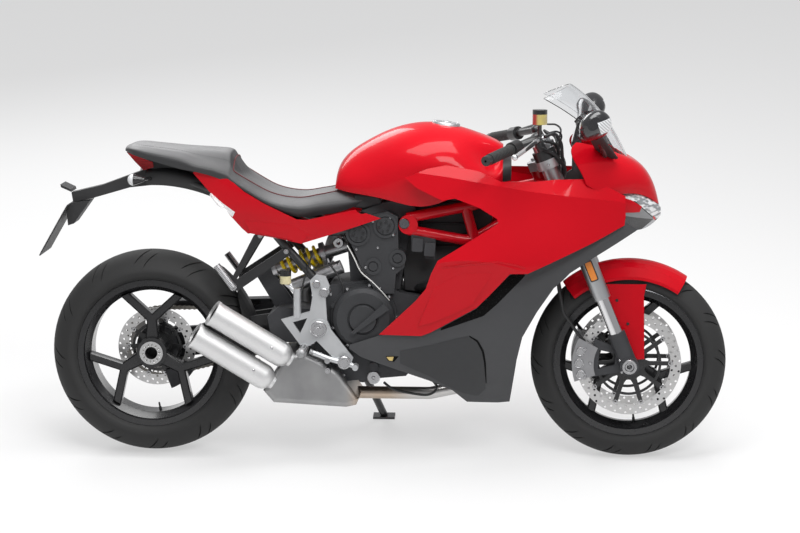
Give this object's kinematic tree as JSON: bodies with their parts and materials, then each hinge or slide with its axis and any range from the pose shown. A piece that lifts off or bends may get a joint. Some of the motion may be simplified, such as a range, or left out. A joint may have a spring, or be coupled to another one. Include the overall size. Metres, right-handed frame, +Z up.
{
  "type": "sport bike",
  "caption": "Faired road sport bike with a trellis frame, a single-sided rear arm and stacked twin silencers, leaning on its side stand.",
  "frame": {"origin": "centre of the footprint of the leaning bike's bounding box, on the ground", "axes": "+X forward along the bike, +Y to its left, the side it leans to, +Z up"},
  "size_m": [2.1107, 0.7642, 1.1432],
  "materials": {
    "rubber": "matte",
    "dark_plastic": "matte",
    "chain_steel": "oiled",
    "engine_alloy": "cast",
    "dark_cast": "satin",
    "exhaust_steel": "brushed",
    "black_paint": "satin",
    "silver_alloy": "satin",
    "steel": "brushed",
    "red_plastic": "gloss",
    "tyre_rubber": "matte",
    "lamp_glass": "clear",
    "red_paint": "gloss",
    "red_lens": "clear",
    "seat_cover": "matte",
    "yellow_paint": "gloss",
    "clear_screen": "clear"
  },
  "bodies": {
    "chassis": {"cockpit_trim": "dark_plastic", "drive_chain": "chain_steel", "engine_block": "engine_alloy", "engine_covers": "dark_cast", "exhaust_system": "exhaust_steel", "headlight": "lamp_glass", "hugger": "dark_plastic", "lower_fairings": "dark_plastic", "main_frame": "red_paint", "mirrors": "dark_plastic", "nose_fairing": "red_plastic", "passenger_brackets": "black_paint", "plate_bracket": "dark_plastic", "radiator": "dark_cast", "rear_lamps": "red_lens", "rear_subframe": "black_paint", "rider_foot_plates": "silver_alloy", "seat": "seat_cover", "shock_absorber": "silver_alloy", "shock_spring": "yellow_paint", "side_fairing_left": "red_plastic", "side_fairing_right": "red_plastic", "silencers": "silver_alloy", "swingarm": "black_paint", "tail_panels": "red_plastic", "tank": "red_paint", "undertail": "dark_plastic", "windscreen": "clear_screen"},
    "steering": {"fork_tubes": "silver_alloy", "fork_bottoms": "black_paint", "triple_clamps": "silver_alloy", "handlebars": "black_paint", "grips": "rubber", "front_calipers": "engine_alloy", "front_fender": "red_plastic", "front_axle": "silver_alloy", "brake_lines": "rubber"},
    "front_wheel": {"front_tyre": "tyre_rubber", "front_rim": "black_paint", "front_discs": "steel"},
    "rear_wheel": {"rear_tyre": "tyre_rubber", "rear_rim": "black_paint", "rear_axle": "silver_alloy", "rear_disc": "steel", "rear_sprocket": "chain_steel"},
    "side_stand": {"side_stand": "black_paint"}
  },
  "joints": [
    {"name": "steering_turn", "type": "hinge", "parent": "chassis", "child": "steering", "pos_m": [0.72768, -0.12759, 0.28518], "axis": [-0.3791, 0.1607, 0.9113], "range_deg": [-25, 25]},
    {"name": "front_wheel_spin", "type": "hinge", "parent": "steering", "child": "front_wheel", "pos_m": [0.75544, -0.12562, 0.29638], "axis": [-0.0001, 0.9848, -0.1736], "continuous": true},
    {"name": "rear_wheel_spin", "type": "hinge", "parent": "chassis", "child": "rear_wheel", "pos_m": [-0.71455, -0.12301, 0.31173], "axis": [-0.0001, 0.9848, -0.1736], "continuous": true},
    {"name": "side_stand_swing", "type": "hinge", "parent": "chassis", "child": "side_stand", "pos_m": [-0.07459, 0.00926, 0.1978], "axis": [-0.0151, 0.8818, 0.4714], "range_deg": [0, 95]}
  ]
}
